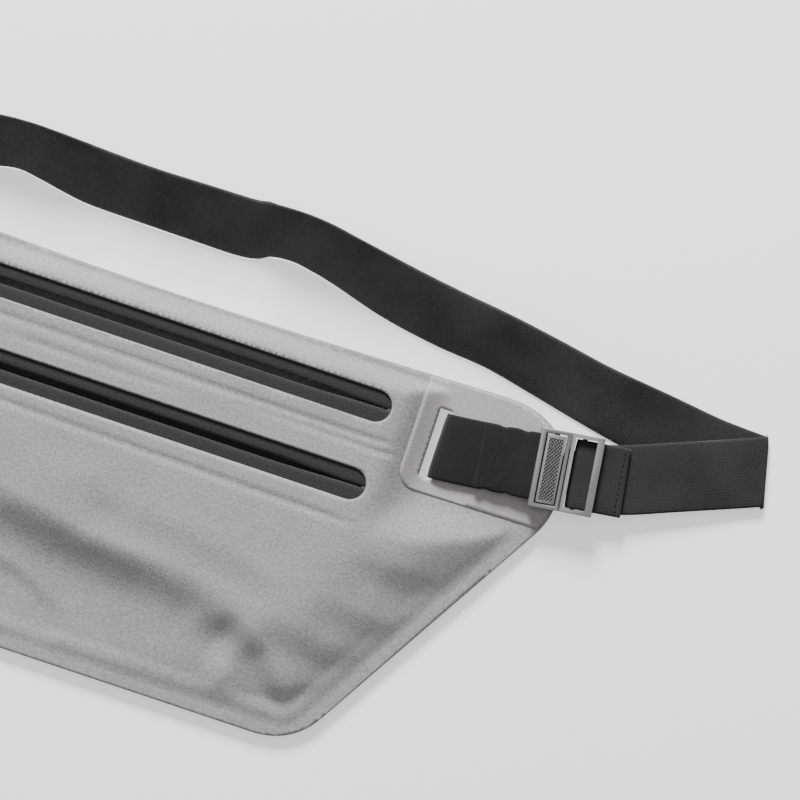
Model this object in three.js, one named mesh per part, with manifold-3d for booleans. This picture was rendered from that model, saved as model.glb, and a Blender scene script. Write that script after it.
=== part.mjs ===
// A flat travel money belt: a grey two-pocket fabric pouch with two reverse-coil zips, a black
// elastic waist strap, a clip buckle with a knurled release pad, and a ladder adjuster.
// Millimetres. +X runs along the belt to the buckle end, +Y to the strap's far side, +Z out of
// the pouch's front. The belt lies on its back at z = 0.
import * as THREE from "three";
import { mergeVertices } from "three/addons/utils/BufferGeometryUtils.js";
import Module from "manifold-3d";

const wasm = await Module();
wasm.setup();

// ---- driving dimensions ----
const SHIFT_Y = -18.85; // puts the middle of the whole belt over the origin
const GAP = 0.1; // between stacked layers of cloth
const FABRIC = 0.8;
const TAB_FLOOR = 1.5; // the bonded edge stands this far off the table
const POUCH_TOP = 12.6; // outer face of the filled pouch's front
const DIVIDER_Z = 6.4;
const WEB_WIDTH = 25;
const WEB_THICK = 1;
const SLOT = { x: 102, y: 45.5, wide: 5, high: 26 };
const ZIP = { fromX: -83, toX: 83, high: 11.6, mouth: 4.8, tape: 9.8 };
const ZIP_Y = { upper: 52, lower: 23 };
const BUCKLE = { x: 137.7, y: 49.5, turn: 7.5, half: 14.2, rail: 1.4, low: 4.2, high: 9.6 };
const BAR_Z = 6.1; // middle height of the bars that webbing wraps
const PATCH_X = 92.5; // inner edge of the end patches
const PATCH_Y = 27.5;

// Each corner of an outline is x, y and how far from it the rounding starts.
const POUCH_CORNERS = [
  [86.8, -73, 15],
  [149.5, 32.5, 7],
  [149.5, 70.5, 30],
  [0, 66.5, 60],
];
const BAG_CORNERS = [
  [82, -66, 13],
  [133, 19.5, 7],
  [90, 26, 5],
  [90, 63.5, 4],
];

// ---- materials ----
const cloth = (color) => new THREE.MeshStandardMaterial({ color, roughness: 0.9, metalness: 0 });
const GREY_CLOTH = cloth(0xa6a4a5);
const PATCH_CLOTH = cloth(0xb2b0b0);
const LINING = cloth(0x6e6d6e);
const BLACK_TAPE = cloth(0x262626);
const WEBBING = cloth(0x2b2b2b);
const GUNMETAL = new THREE.MeshStandardMaterial({ color: 0x7f7f7e, roughness: 0.4, metalness: 0.8 });
const DARK_METAL = new THREE.MeshStandardMaterial({ color: 0x3a3a3a, roughness: 0.4, metalness: 0.8 });

const belt = new THREE.Group();
const pouch = new THREE.Group();
pouch.position.y = SHIFT_Y;
belt.add(pouch);

// ---- tools ----
function addMesh(group, name, geometry, material) {
  const mesh = new THREE.Mesh(geometry, material);
  mesh.name = name;
  group.add(mesh);
  return mesh;
}

function toSolid(geometry) {
  const bare = geometry.index ? geometry.toNonIndexed() : geometry.clone();
  bare.deleteAttribute("normal");
  bare.deleteAttribute("uv");
  const merged = mergeVertices(bare, 1e-3);
  return new wasm.Manifold(
    new wasm.Mesh({
      numProp: 3,
      vertProperties: merged.attributes.position.array,
      triVerts: new Uint32Array(merged.index.array),
    }),
  );
}

function toGeometry(solid) {
  const mesh = solid.getMesh();
  const geometry = new THREE.BufferGeometry();
  geometry.setAttribute("position", new THREE.BufferAttribute(new Float32Array(mesh.vertProperties), 3));
  geometry.setIndex(new THREE.BufferAttribute(new Uint32Array(mesh.triVerts), 1));
  return geometry.toNonIndexed();
}

const withMirror = (corners) => [
  ...corners,
  ...corners
    .filter(([x]) => x > 0)
    .reverse()
    .map(([x, y, cut]) => [-x, y, cut]),
];

// A closed shape through corners, each one rounded by a curve.
function roundedShape(corners) {
  const shape = new THREE.Shape();
  corners.forEach(([x, y, cut], i) => {
    const corner = new THREE.Vector2(x, y);
    const last = corners[(i + corners.length - 1) % corners.length];
    const next = corners[(i + 1) % corners.length];
    const before = new THREE.Vector2(last[0], last[1]).sub(corner).setLength(cut).add(corner);
    const after = new THREE.Vector2(next[0], next[1]).sub(corner).setLength(cut).add(corner);
    if (i === 0) shape.moveTo(before.x, before.y);
    else shape.lineTo(before.x, before.y);
    shape.quadraticCurveTo(x, y, after.x, after.y);
  });
  shape.closePath();
  return shape;
}

// The same corners moved inwards by a distance; the corners run anticlockwise.
function inset(corners, distance) {
  return corners.map(([x, y, cut], i) => {
    const corner = new THREE.Vector2(x, y);
    const last = corners[(i + corners.length - 1) % corners.length];
    const next = corners[(i + 1) % corners.length];
    const into = corner.clone().sub(new THREE.Vector2(last[0], last[1])).normalize();
    const out = new THREE.Vector2(next[0], next[1]).sub(corner).normalize();
    const bisector = new THREE.Vector2(-into.y - out.y, into.x + out.x).normalize();
    const reach = distance / (bisector.x * -into.y + bisector.y * into.x);
    return [x + bisector.x * reach, y + bisector.y * reach, Math.max(cut - distance * 0.5, 1)];
  });
}

function slab(shape, low, high, curveSegments = 5) {
  const settings = { depth: high - low, bevelEnabled: false, curveSegments };
  return new THREE.ExtrudeGeometry(shape, settings).translate(0, 0, low);
}

function block(x0, x1, y0, y1, z0, z1) {
  const made = new THREE.BoxGeometry(x1 - x0, y1 - y0, z1 - z0);
  return made.translate((x0 + x1) / 2, (y0 + y1) / 2, (z0 + z1) / 2);
}

const blockSolid = (...box) => toSolid(block(...box));

function stadium(x0, x1, y, radius) {
  const shape = new THREE.Shape();
  shape.absarc(x1 - radius, y, radius, -Math.PI / 2, Math.PI / 2, false);
  shape.absarc(x0 + radius, y, radius, Math.PI / 2, 1.5 * Math.PI, false);
  shape.closePath();
  return shape;
}

// ---- pouch ----
const outline = withMirror(POUCH_CORNERS);
const bag = withMirror(BAG_CORNERS);
const pouchShape = roundedShape(outline);

function slots(low, high) {
  const cut = (x) =>
    blockSolid(x - SLOT.wide / 2, x + SLOT.wide / 2, SLOT.y - SLOT.high / 2, SLOT.y + SLOT.high / 2, low, high);
  return cut(SLOT.x).add(cut(-SLOT.x));
}

// A cloth face: the bonded edge all round, and a tray over the bag that opens to one side.
function panel(edgeLow, trayLow, trayHigh, hollowLow, hollowHigh) {
  const edge = toSolid(slab(pouchShape, edgeLow, edgeLow + FABRIC));
  const tray = toSolid(slab(roundedShape(bag), trayLow, trayHigh));
  const hollow = toSolid(slab(roundedShape(inset(bag, 1)), hollowLow, hollowHigh));
  return edge.add(tray).subtract(hollow).subtract(slots(-1, trayHigh + 1));
}

const seamTop = TAB_FLOOR + 2 * FABRIC + GAP;
const frontEdge = TAB_FLOOR + FABRIC + GAP;
const skinUnder = POUCH_TOP - FABRIC;

const backPanel = panel(TAB_FLOOR, 0, TAB_FLOOR + FABRIC, FABRIC, TAB_FLOOR + FABRIC + 1);
addMesh(pouch, "back_panel", toGeometry(backPanel), GREY_CLOTH);

let frontPanel = panel(frontEdge, frontEdge, POUCH_TOP, frontEdge - 1, skinUnder);
for (const y of Object.values(ZIP_Y)) {
  const opening = slab(stadium(ZIP.fromX, ZIP.toX, y, ZIP.high / 2), skinUnder - 1, POUCH_TOP + 1, 8);
  frontPanel = frontPanel.subtract(toSolid(opening));
}
addMesh(pouch, "front_panel", toGeometry(frontPanel), GREY_CLOTH);

// The divider shuts the rear pocket off from the front one, and meets the front between the zips.
const dividerTopY = 37.5;
const insideBag = toSolid(slab(roundedShape(inset(bag, 1.4)), DIVIDER_Z, skinUnder - GAP));
const dividerSheet = blockSolid(-160, 160, -90, dividerTopY, DIVIDER_Z, DIVIDER_Z + 0.6);
const dividerWall = blockSolid(-160, 160, dividerTopY - 0.8, dividerTopY, DIVIDER_Z, skinUnder - GAP);
addMesh(pouch, "pocket_divider", toGeometry(insideBag.intersect(dividerSheet.add(dividerWall))), LINING);

// Bonded patches stiffen both ends round the strap slots.
for (const [side, name] of [
  [1, "right_end_patch"],
  [-1, "left_end_patch"],
]) {
  const region = roundedShape([
    [PATCH_X, PATCH_Y, 6],
    [160, PATCH_Y, 1],
    [160, 80, 1],
    [PATCH_X, 80, 1],
  ]);
  let area = toSolid(slab(region, seamTop, seamTop + 2));
  if (side < 0) area = area.mirror([1, 0, 0]);
  const low = seamTop + GAP;
  const sheet = toSolid(slab(roundedShape(inset(outline, 1.2)), low, low + 0.5));
  addMesh(pouch, name, toGeometry(sheet.intersect(area).subtract(slots(0, 9))), PATCH_CLOTH);
}

// ---- zips ----
// Each zip has two tapes bonded under the front, a coil under each tape's inner edge, a slider
// that straddles both coils, its pull tab and a stop at each end.
const tapeTop = skinUnder - GAP;
const tapeLow = tapeTop - 0.5;
const coilTop = tapeLow - GAP;
const coilLow = coilTop - 1.2;
const SLIDER_X = -73;
const SLIDER_HALF = 5;

function addTape(zip, row, side) {
  const inner = ZIP_Y[zip] + (side * ZIP.mouth) / 2;
  const outer = inner + side * (ZIP.tape - ZIP.mouth / 2);
  const [y0, y1] = [Math.min(inner, outer), Math.max(inner, outer)];
  addMesh(pouch, `${zip}_zip_${row}_tape`, block(-86, 86, y0, y1, tapeLow, tapeTop), BLACK_TAPE);
  const coil = stadium(-82, 80, ZIP_Y[zip] + side * (ZIP.mouth / 2 + 0.6), 0.6);
  addMesh(pouch, `${zip}_zip_${row}_coil`, slab(coil, coilLow, coilTop, 3), BLACK_TAPE);
}

function addSlider(zip) {
  const plate = (half) => stadium(SLIDER_X - SLIDER_HALF, SLIDER_X + SLIDER_HALF, ZIP_Y[zip], half);
  const top = toSolid(slab(plate(4.4), tapeTop + GAP, tapeTop + 1.4));
  const bottom = toSolid(slab(plate(4.2), coilLow - 1.1, coilLow - GAP));
  const neck = toSolid(slab(stadium(SLIDER_X - 2.5, SLIDER_X + 2, ZIP_Y[zip], 1.6), coilLow - 0.6, tapeTop + 0.6));
  const bridgeEar = (y) =>
    blockSolid(SLIDER_X - 1.4, SLIDER_X + 1.4, y - 0.5, y + 0.5, tapeTop + 1.2, tapeTop + 3.2);
  const ears = bridgeEar(ZIP_Y[zip] - 1.9).add(bridgeEar(ZIP_Y[zip] + 1.9));
  addMesh(pouch, `${zip}_zip_slider`, toGeometry(top.add(bottom).add(neck).add(ears)), DARK_METAL);
}

// The pull lies outwards over the bag's end, with its root between the two ears.
function addPull(zip) {
  const y = ZIP_Y[zip];
  const low = tapeTop + 1.7;
  const root = blockSolid(SLIDER_X - 9, SLIDER_X + 0.4, y - 1.2, y + 1.2, low, low + 1);
  const tab = toSolid(slab(stadium(SLIDER_X - 26, SLIDER_X - 5.4, y, 3.2), low, low + 1));
  const eye = toSolid(slab(stadium(SLIDER_X - 24.4, SLIDER_X - 20, y, 1.4), low - 1, low + 2));
  addMesh(pouch, `${zip}_zip_pull`, toGeometry(root.add(tab).subtract(eye)), DARK_METAL);
}

function addStops(zip) {
  for (const [end, x] of [
    ["open_end", -84.4],
    ["closed_end", 82.4],
  ]) {
    const y = ZIP_Y[zip];
    addMesh(pouch, `${zip}_zip_${end}_stop`, block(x - 0.9, x + 1.5, y - 3.6, y + 3.6, coilLow, coilTop), DARK_METAL);
  }
}

for (const zip of ["upper", "lower"]) {
  addTape(zip, "far", 1);
  addTape(zip, "near", -1);
  addSlider(zip);
  addPull(zip);
  addStops(zip);
}

// ---- webbing ----
// A flat band along stations. Each is x, y, z, the plan angle of its width and how far that banks.
function band(stations, width, thick) {
  const points = stations.map(([x, y, z]) => new THREE.Vector3(x, y, z));
  const corners = [];
  stations.forEach(([, , , angle, bank = 0], i) => {
    const flat = THREE.MathUtils.degToRad(angle);
    const lift = THREE.MathUtils.degToRad(bank);
    const across = new THREE.Vector3(
      Math.cos(flat) * Math.cos(lift),
      Math.sin(flat) * Math.cos(lift),
      Math.sin(lift),
    );
    const ahead = points[Math.min(i + 1, points.length - 1)].clone().sub(points[Math.max(i - 1, 0)]).normalize();
    const normal = ahead.clone().cross(across);
    const half = width / 2 / normal.length();
    normal.setLength(thick / 2);
    for (const [a, n] of [
      [1, 1],
      [-1, 1],
      [-1, -1],
      [1, -1],
    ])
      corners.push(points[i].clone().addScaledVector(across, a * half).addScaledVector(normal, n));
  });
  const faces = [];
  const quad = (a, b, c, d) => faces.push(a, b, c, a, c, d);
  for (let i = 0; i + 1 < stations.length; i++)
    for (let k = 0; k < 4; k++) quad(4 * i + k, 4 * i + ((k + 1) % 4), 4 * i + 4 + ((k + 1) % 4), 4 * i + 4 + k);
  const end = 4 * (stations.length - 1);
  quad(3, 2, 1, 0);
  quad(end, end + 1, end + 2, end + 3);
  const geometry = new THREE.BufferGeometry().setFromPoints(corners);
  geometry.setIndex(faces);
  const solid = geometry.toNonIndexed();
  return toSolid(solid).volume() < 0 ? toGeometry(toSolid(flip(solid))) : solid;
}

function flip(geometry) {
  const turned = geometry.clone();
  const place = turned.attributes.position;
  for (let i = 0; i < place.count; i += 3) {
    const first = new THREE.Vector3().fromBufferAttribute(place, i);
    const second = new THREE.Vector3().fromBufferAttribute(place, i + 1);
    place.setXYZ(i, second.x, second.y, second.z);
    place.setXYZ(i + 1, first.x, first.y, first.z);
  }
  return turned;
}

const turn = THREE.MathUtils.degToRad(BUCKLE.turn);
// A point of the buckle's own frame, where x runs outwards along the strap from its inner edge.
function fromBuckle(side, x, y = 0) {
  const px = BUCKLE.x + x * Math.cos(turn) - y * Math.sin(turn);
  return [side * px, BUCKLE.y + x * Math.sin(turn) + y * Math.cos(turn)];
}
const acrossBuckle = (side) => 90 + side * BUCKLE.turn;

// Stations that wrap round a bar: inwards under it, round it, and outwards over it.
function wrap(side, barX, direction, reach) {
  const made = [];
  for (let step = 0; step <= 6; step++) {
    const angle = (-0.5 + step / 6) * Math.PI;
    const [x, y] = fromBuckle(side, barX + direction * Math.cos(angle) * reach);
    made.push([x, y, BAR_Z + Math.sin(angle) * 1.15, acrossBuckle(side)]);
  }
  return made;
}

// The anchor loop: bonded behind the tab, up through the slot, along the tab, round the bar of
// the buckle or adjuster, and back over itself to its two rows of stitching.
function anchorLoop(side) {
  const at = (x, z, y = SLOT.y, lean = 0) => [side * x, y, z, 90 + side * lean];
  return [
    at(122, 0.7),
    at(107, 0.7),
    at(104, 0.8),
    at(102.3, 1.5),
    at(102.1, 2.6),
    at(102.9, 3.9),
    at(104.6, 4.7, SLOT.y + 0.1, 2),
    at(108, 4.95, SLOT.y + 0.4, 5),
    at(116, 4.95, SLOT.y + 1.3, 6.5),
    at(124, 4.95, SLOT.y + 2.3, 7),
    at(131, 4.95, SLOT.y + 3.2, 7.5),
    ...wrap(side, 6.7, 1, 1.4),
    [...fromBuckle(side, -1), BAR_Z + 1.1, acrossBuckle(side)],
    [...fromBuckle(side, -6), 6.4, acrossBuckle(side)],
    at(124, 6.2, SLOT.y + 2.3, 7),
    at(118, 6.2, SLOT.y + 1.5, 6.5),
  ];
}
const LOOP_WIDTH = 24;
addMesh(pouch, "right_anchor_loop", band(anchorLoop(1), LOOP_WIDTH, WEB_THICK), WEBBING);
addMesh(pouch, "left_anchor_loop", band(anchorLoop(-1), LOOP_WIDTH, WEB_THICK), WEBBING);

// The rear run from the buckle's end to the adjuster's: x, y, the plan angle of its width, and
// its bank, which is how far the strap leans up on its far edge, in degrees.
const REAR_RUN = [
  [196, 74.2, 84, 0],
  [176, 76.6, 82, 6],
  [152, 80, 80, 20],
  [132, 83.8, 80, 30],
  [112, 87.4, 82, 34],
  [92, 89.6, 82, 34],
  [72, 92.7, 80, 36],
  [52, 97, 79, 39],
  [42, 99.2, 83, 38],
  [32.6, 100.6, 90, 38],
  [23.3, 99.9, 97, 37],
  [14.5, 97.9, 95, 36],
  [-4.2, 97.3, 90, 37],
  [-23, 97.2, 89, 38],
  [-42, 97.6, 87, 38],
  [-51.6, 98.4, 84, 41],
  [-61.4, 99.4, 86, 44],
  [-71, 99.8, 91, 46],
  [-80, 99, 97, 45],
  [-95, 96.2, 101, 40],
  [-112, 92, 103, 33],
  [-132, 87, 102, 24],
  [-152, 82, 100, 13],
  [-176, 77, 98, 2],
  [-196, 74.2, 96, 0],
];

function rearRun() {
  return REAR_RUN.map(([x, y, angle, bank]) => {
    const lift = THREE.MathUtils.degToRad(bank);
    const rise = (WEB_WIDTH / 2) * Math.sin(lift) + (WEB_THICK / 2) * Math.cos(lift) + 0.1;
    return [x, y, rise, angle, bank];
  });
}

const FOLD = { x: 216.2, y: 73.4, slant: 103.7, radius: 1 };

// The fold at one end of the loop, from the front run's layer down to the rear run's.
function fold(side) {
  const angle = 90 + side * (FOLD.slant - 90);
  const slant = THREE.MathUtils.degToRad(FOLD.slant - 90);
  const outX = side * Math.cos(slant);
  const made = [];
  for (let step = 0; step <= 6; step++) {
    const roll = (0.5 - step / 6) * Math.PI;
    const reach = Math.cos(roll) * FOLD.radius;
    made.push([side * FOLD.x + outX * reach, FOLD.y + Math.sin(slant) * reach, 1.6 + Math.sin(roll), angle]);
  }
  return made;
}

// The front run, from the wrap round the receiver's or adjuster's outer bar out to the fold.
function frontRun(side, from) {
  const lean = (degrees) => 90 + side * degrees;
  return [
    [...fromBuckle(side, from), 4.95, acrossBuckle(side)],
    [side * 172, 55.6, 4.7, lean(21)],
    [side * 184, 60.4, 4.05, lean(21)],
    [side * 198, 66, 3.3, lean(20)],
    [side * 209, 70.4, 2.7, lean(15)],
  ];
}

function waistStrap() {
  const tail = [
    [...fromBuckle(1, 33), 6.2, acrossBuckle(1) + 2],
    [...fromBuckle(1, 27), 6.4, acrossBuckle(1)],
    [...fromBuckle(1, 22), BAR_Z + 1.1, acrossBuckle(1)],
  ];
  const rightWrap = wrap(1, 15.4, -1, 1.4).reverse();
  const leftWrap = wrap(-1, 13.4, -1, 1.4);
  const leftTail = [
    [...fromBuckle(-1, 16.4), 7.7, acrossBuckle(-1)],
    [...fromBuckle(-1, 21), 7.7, acrossBuckle(-1)],
    [...fromBuckle(-1, 27), 6.4, acrossBuckle(-1)],
    [-172, 55.6, 6.2, 90 - 21],
    [-184, 60.4, 5.55, 90 - 21],
    [-198, 66, 4.8, 90 - 20],
  ];
  return [
    ...tail,
    ...rightWrap,
    ...frontRun(1, 25),
    ...fold(1),
    ...rearRun(),
    ...fold(-1).reverse(),
    ...frontRun(-1, 25).reverse(),
    ...leftWrap,
    ...leftTail,
  ];
}
addMesh(pouch, "waist_strap", band(waistStrap(), WEB_WIDTH, WEB_THICK), WEBBING);

// ---- buckle and adjuster ----
function buckleGroup(side) {
  const group = new THREE.Group();
  const holder = new THREE.Group();
  group.position.set(BUCKLE.x, BUCKLE.y, 0);
  group.rotation.z = turn;
  holder.scale.x = side;
  holder.add(group);
  pouch.add(holder);
  return group;
}

const { half: HALF, rail: RAIL, low: LOW, high: HIGH } = BUCKLE;
// Two side rails joined by bars; each bar is x0, x1, z0, z1.
function railFrame(x0, x1, bars) {
  const sides = blockSolid(x0, x1, -HALF, RAIL - HALF, LOW, HIGH).add(
    blockSolid(x0, x1, HALF - RAIL, HALF, LOW, HIGH),
  );
  return bars.reduce(
    (frame, [bx0, bx1, z0, z1]) => frame.add(blockSolid(bx0, bx1, 0.5 - HALF, HALF - 0.5, z0, z1)),
    sides,
  );
}

const BAR_LOW = BAR_Z - 0.5;
const BAR_HIGH = BAR_Z + 0.5;
const clasp = buckleGroup(1);

// The latch half: inner top bar, hidden webbing bar, wall, and the tongue that enters the receiver.
const tongue = blockSolid(10, 13, -8, 8, 5.2, 6.8).add(blockSolid(12, 13, -8, 8, 5.2, 7.6));
const latchFrame = railFrame(0, 11, [
  [0, 2, 8.3, HIGH],
  [5, 6.9, BAR_LOW, BAR_HIGH],
  [9.6, 11, LOW, HIGH],
]).add(tongue);
addMesh(clasp, "latch_frame", toGeometry(latchFrame), GUNMETAL);

// The knurled pad rocks on a pin held in the side rails and carries a short catch.
const pad = blockSolid(2.4, 9.2, -12.4, 12.4, 8.5, 9.5);
addMesh(clasp, "release_pad", toGeometry(pad), GUNMETAL);

// The receiver half: slotted wall, hidden webbing bar and outer top bar.
const tongueSlot = blockSolid(11, 13.6, -8.6, 8.6, 4.9, 7.9);
const receiver = railFrame(11.3, 23, [
  [11.3, 12.7, LOW, HIGH],
  [15.2, 17, BAR_LOW, BAR_HIGH],
  [20.4, 23, 8.3, HIGH],
]).subtract(tongueSlot);
addMesh(clasp, "receiver_frame", toGeometry(receiver), GUNMETAL);

// The ladder adjuster: the strap comes in under its outer bar and goes back out over it.
const ladder = buckleGroup(-1);
const adjuster = railFrame(0, 22, [
  [0, 2, 8.3, HIGH],
  [5, 6.9, BAR_LOW, BAR_HIGH],
  [13.2, 15, BAR_LOW, BAR_HIGH],
  [19, 20.8, BAR_LOW, BAR_HIGH],
]);
addMesh(ladder, "strap_adjuster", toGeometry(adjuster), GUNMETAL);

// An elastic keeper slides along the doubled strap and holds its free tail down.
const KEEPER = { x: 178, y: 58, z: 5.12, turn: 21.8, slope: 2.9, long: 6 };
const keeperHolder = new THREE.Group();
keeperHolder.scale.x = -1;
pouch.add(keeperHolder);
const keeperFrame = new THREE.Group();
keeperFrame.position.set(KEEPER.x, KEEPER.y, KEEPER.z);
keeperFrame.rotation.set(0, THREE.MathUtils.degToRad(KEEPER.slope), THREE.MathUtils.degToRad(KEEPER.turn), "ZYX");
keeperHolder.add(keeperFrame);
const keeperOuter = blockSolid(-KEEPER.long / 2, KEEPER.long / 2, -14.4, 14.4, -2.55, 2.55);
const keeperInner = blockSolid(-KEEPER.long, KEEPER.long, -13.6, 13.6, -2, 2);
addMesh(keeperFrame, "strap_keeper", toGeometry(keeperOuter.subtract(keeperInner)), WEBBING);

export default belt;
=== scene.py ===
"""The looks of a travel money belt: grey bonded cloth, black zips, ribbed webbing and a clip buckle.

Lengths are in millimetres in the belt's own plan (x along the pouch, y up it) and place() turns
them into the frame's metres.
"""

import math

import bmesh
import bpy
import numpy as np
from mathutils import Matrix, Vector, geometry, noise


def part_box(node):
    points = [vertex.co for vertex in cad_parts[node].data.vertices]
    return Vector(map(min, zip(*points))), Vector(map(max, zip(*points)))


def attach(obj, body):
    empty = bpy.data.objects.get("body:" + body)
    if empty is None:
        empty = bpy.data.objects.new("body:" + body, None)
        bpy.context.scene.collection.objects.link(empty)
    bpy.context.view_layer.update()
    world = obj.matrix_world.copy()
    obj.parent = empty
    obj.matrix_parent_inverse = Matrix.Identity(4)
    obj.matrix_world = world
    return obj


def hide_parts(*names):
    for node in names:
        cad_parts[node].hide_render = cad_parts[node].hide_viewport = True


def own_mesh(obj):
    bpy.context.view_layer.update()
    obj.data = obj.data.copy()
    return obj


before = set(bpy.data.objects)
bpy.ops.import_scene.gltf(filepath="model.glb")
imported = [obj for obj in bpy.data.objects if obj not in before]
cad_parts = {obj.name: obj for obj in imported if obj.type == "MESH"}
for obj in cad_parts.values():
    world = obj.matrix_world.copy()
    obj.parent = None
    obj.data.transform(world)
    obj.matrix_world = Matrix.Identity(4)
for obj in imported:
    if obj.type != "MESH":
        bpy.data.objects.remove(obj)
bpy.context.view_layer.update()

MM = 0.001
POUCH_FOOT = -73.0  # plan y of the pouch's bottom edge
SHIFT_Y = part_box("front_panel")[0].y / MM - POUCH_FOOT
POUCH_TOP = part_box("front_panel")[1].z / MM
FLANGE_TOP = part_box("right_end_patch")[0].z / MM
FLANGE_LOW = 1.5
CLOTH = 0.5
PATCH_THICK = 0.2
DIVIDER_THICK = 0.25
TAPE_THICK = 0.4
PATCH_GAP = 0.26  # from the front cloth's outer face to the patch's
TAPE_GAP = 0.27  # from the front cloth's inner face down to the tape's upper face
PLAN_Y = {"upper": 52.0, "lower": 23.0}
ZIP_REACH = 83.0
ZIP_HALF = 5.8
SLIDER_X = -73.0
NECK_LOW = 9.6
NECK_HIGH = 12.0
DIVIDER_TOP = 37.5
DIVIDER_REACH = 94.0  # it stops short of the flat tabs at both ends
PATCH_X = 92.5
PATCH_Y = 27.5
SLOT = {"x": 102.0, "y": 45.5, "half_wide": 2.5, "half_high": 13.0}
WEB_WIDTH = 25.0
LOOP_WIDTH = 24.0
WEB_THICK = 1.0
BUCKLE_X = 137.7
BUCKLE_Y = 49.5
BUCKLE_TURN = math.radians(7.5)
BAR_Z = 6.1
COIL_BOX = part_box("upper_zip_far_coil")
SLIVER = 0.004  # area of a triangle that is too thin to keep
SOFT_MEETING = 14.0  # how sharply the bag's slopes meet
BANKED_PAINTED_LIGHT = 0.3  # painted light: how much paler the webbing is painted where it stands on its edge, making up for the shade it turns into there
PUCKERS = (123.4, 131.2)  # x of the loop's rows of stitches, which draw its edges in
BAND_COLUMNS = 14  # strips across a band of webbing

# The camera looks straight down at this point and sees this width, turned by this much.
VIEW_CENTRE = (84.7, 56.6, 6.0)
VIEW_WIDTH = 285.7
VIEW_ROLL = math.radians(18.5)
LENS = 120.0
SENSOR = 36.0

# Corners of the pouch's outline: x, y, and how far from the corner its rounding starts.
POUCH_CORNERS = [(86.8, -73, 15), (149.5, 32.5, 7), (149.5, 70.5, 30), (0, 66.5, 60)]

# Folds of the front: half width, then each point's x, y and the depth that the cloth drops by.
# The cloth drops on the right-hand side of a fold's line and comes back up more gently.
FOLDS = [
    (
        11.0,
        [(-64, -19, 0), (-46, -25, 7.0), (-30, -29, 9.8), (-9, -32.5, 11.0),
         (13, -34, 11.0), (33, -35, 8.4), (50, -38, 4.0), (62, -42, 0)],
    ),
    (5.5, [(40, -36, 0), (54, -39, 2.6), (66, -46, 3.4), (75, -57, 3.2), (79, -65, 0)]),
    (8.5, [(-66, -42, 0), (-44, -46, 6.0), (-27, -51, 7.0), (-16, -56.5, 5.0), (-2, -62, 0)]),
    (5.5, [(-22, -4, 0), (0, -11, 0.9), (30, -15, 1.0), (54, -19, 1.1), (72, -25, 0)]),
    (6.0, [(58, -33, 0), (74, -36, 1.7), (88, -38, 1.9), (106, -36, 0)]),
    (5.5, [(76, -19, 0), (90, -22.5, 1.2), (99, -24, 1.2), (114, -24, 0)]),
    (6.0, [(84, -2, 0), (96, -3, 1.3), (108, -3.6, 1.5), (118, -4.2, 1.1), (128, -3, 0)]),
    (3.2, [(94, -52, 0), (86, -60, 1.6), (79, -65.5, 1.8), (76, -67.5, 0)]),
    (6.0, [(-112, 4, 0), (-96, -4, 2.4), (-80, -14, 2.8), (-64, -20, 0)]),
    (6.0, [(-104, -28, 0), (-90, -34, 3.4), (-74, -48, 3.4), (-64, -58, 0)]),
    (3.4, [(-120, -8, 0), (-110, -18, 1.5), (-104, -30, 0)]),
]

# Creases beside the zips, where the bonded tape behind the cloth ends.
CREASES = [
    (1.1, [(-88, 64.3, 0), (-60, 63.4, 0.52), (0, 62.6, 0.68), (60, 63.6, 0.75), (91, 65.5, 0)]),
    (1.1, [(-90, 41.2, 0), (-60, 40.8, 0.6), (40, 40.2, 0.75), (80, 40.2, 0.75), (92, 41, 0)]),
    (1.0, [(20, 37.4, 0), (60, 37.2, 0.6), (84, 36.8, 0.75), (92, 37.4, 0)]),
    (1.1, [(-90, 10.5, 0), (-50, 11.6, 0.6), (20, 10.4, 0.68), (70, 9.6, 0.68), (88, 9.4, 0)]),
    (1.0, [(-60, 35.2, 0), (-40, 34.8, 0.52), (0, 34.6, 0.3), (20, 34.6, 0)]),
]

# The welded seam inside the pouch's bottom and slanting edges.
SEAM = [(141, 29), (86.9, -62.1), (85.2, -65.3), (82.4, -67), (79, -67.5)]
SEAM = SEAM + [(-x, y) for x, y in reversed(SEAM)]

# The rear run of the strap, from the buckle's end to the adjuster's: x, y, the plan angle of its
# width, and how far it leans up on its far edge, in degrees.
REAR_RUN = [
    (196, 74.2, 84, 2),
    (176, 76.6, 82, 12),
    (152, 80, 80, 26),
    (132, 83.8, 80, 31),
    (112, 87.4, 82, 35),
    (92, 89.6, 82, 33),
    (72, 92.7, 80, 35),
    (52, 97, 79, 43),
    (42, 99, 82, 45),
    (32.6, 100, 89, 47),
    (23.3, 99.5, 97, 45),
    (14.5, 97.6, 95, 36),
    (-4.2, 97.3, 90, 37),
    (-23, 97.2, 89, 39),
    (-42, 97.6, 87, 38),
    (-51.6, 98.4, 84, 41),
    (-61.4, 99.4, 86, 46),
    (-71, 100, 91, 50),
    (-80, 99, 97, 48),
    (-95, 96.2, 101, 42),
    (-112, 92, 103, 33),
    (-132, 87, 102, 24),
    (-152, 82, 100, 13),
    (-176, 77, 98, 2),
    (-196, 74.2, 96, 0),
]

# The middle of the strap's flat folds, and the slant of their edges in degrees.
FOLD_X = 216.2
FOLD_Y = 73.4
FOLD_SLANT = 13.7


def place(x, y, z):
    """A point of the plan, in millimetres, as a point of the frame in metres."""
    return Vector((x * MM, (y + SHIFT_Y) * MM, z * MM))


def new_object(name, mesh):
    made = bpy.data.objects.new(name, mesh)
    bpy.context.scene.collection.objects.link(made)
    return made


def shade_smooth(obj):
    obj.data.polygons.foreach_set("use_smooth", [True] * len(obj.data.polygons))
    obj.data.update()


def apply_modifiers(obj):
    """Makes the object's mesh what its modifiers make of it."""
    graph = bpy.context.evaluated_depsgraph_get()
    mesh = bpy.data.meshes.new_from_object(obj.evaluated_get(graph))
    obj.modifiers.clear()
    obj.data = mesh


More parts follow.
